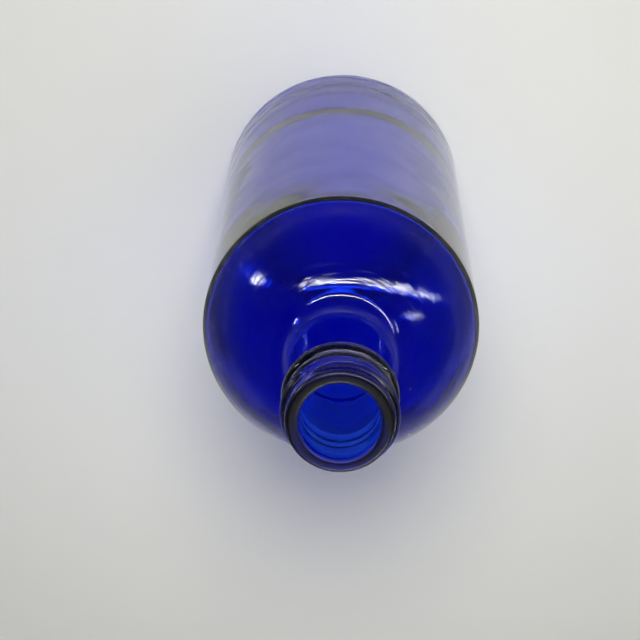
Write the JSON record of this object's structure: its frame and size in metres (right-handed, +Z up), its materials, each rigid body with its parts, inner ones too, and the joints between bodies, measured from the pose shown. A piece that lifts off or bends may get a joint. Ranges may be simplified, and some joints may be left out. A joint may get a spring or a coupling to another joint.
{
  "type": "medicine bottle",
  "caption": "Round cobalt-blue glass apothecary bottle with a domed shoulder, long neck and open screw-thread mouth, shown without a closure.",
  "frame": {"origin": "centre of the circle that the bottle stands on, at its base", "axes": "+Z up along the bottle's axis, towards the mouth; -Y is the side on which the thread starts at the lip"},
  "size_m": [0.068, 0.068, 0.1812],
  "materials": {
    "cobalt_glass": "clear polished glass, deep cobalt blue all through, lightly scuffed"
  },
  "bodies": {
    "root": {"glass_bottle": "cobalt_glass"}
  },
  "joints": []
}
